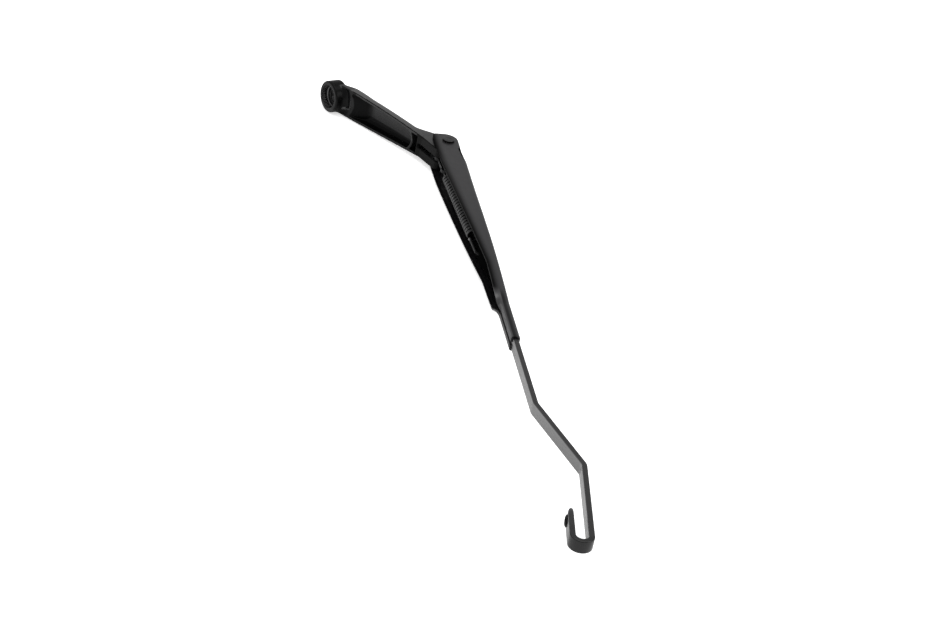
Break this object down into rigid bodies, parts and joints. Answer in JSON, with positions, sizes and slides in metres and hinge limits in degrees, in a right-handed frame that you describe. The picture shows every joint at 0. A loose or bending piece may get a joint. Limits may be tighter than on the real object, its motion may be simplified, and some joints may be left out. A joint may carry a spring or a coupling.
{
  "type": "wiper arm",
  "caption": "Windscreen wiper arm painted black: cast head with a spindle boss, sprung hinge, folded sheet channel and a flat strip that ends in a blade hook.",
  "frame": {"origin": "centre of the spindle boss's mouth, the face that goes over the spindle housing", "axes": "+X runs along the head towards the hinge and the hook, +Y away from the glass along the spindle, +Z along the hinge axis; the arm lies on its -Z side"},
  "size_m": [0.5942, 0.222, 0.026],
  "materials": {
    "black_paint": "satin",
    "spring_steel": "satin",
    "bush_polymer": "matte"
  },
  "bodies": {
    "head": {"head_casting": "black_paint", "hinge_bush_near": "bush_polymer", "hinge_bush_far": "bush_polymer", "anchor_pin": "spring_steel"},
    "arm": {"arm_channel": "black_paint", "arm_strip": "black_paint", "hinge_rivet": "black_paint"},
    "link": {"spring_link": "spring_steel"},
    "spring": {"tension_spring": "spring_steel"}
  },
  "joints": [
    {"name": "fold", "type": "hinge", "parent": "head", "child": "arm", "pos_m": [0.112, 0.0437, 0], "axis": [0, 0, 1], "range_deg": [0, 75], "stiffness_Nm_per_rad": 1.2, "springref_deg": -85.94},
    {"name": "link_swing", "type": "hinge", "parent": "head", "child": "link", "pos_m": [0.11822, 0.03346, 0], "axis": [0, 0, 1], "range_deg": [0, 77.5]},
    {"name": "spring_stretch", "type": "slide", "parent": "link", "child": "spring", "axis": [0.9309, -0.3654, 0], "range_m": [0, 0.0142], "deforming": ["tension_spring"]}
  ],
  "couplings": [
    {"joint": "link_swing", "follows": "fold", "ratio": 1.027},
    {"joint": "spring_stretch", "follows": "fold", "m_per_rad": 0.01077}
  ]
}
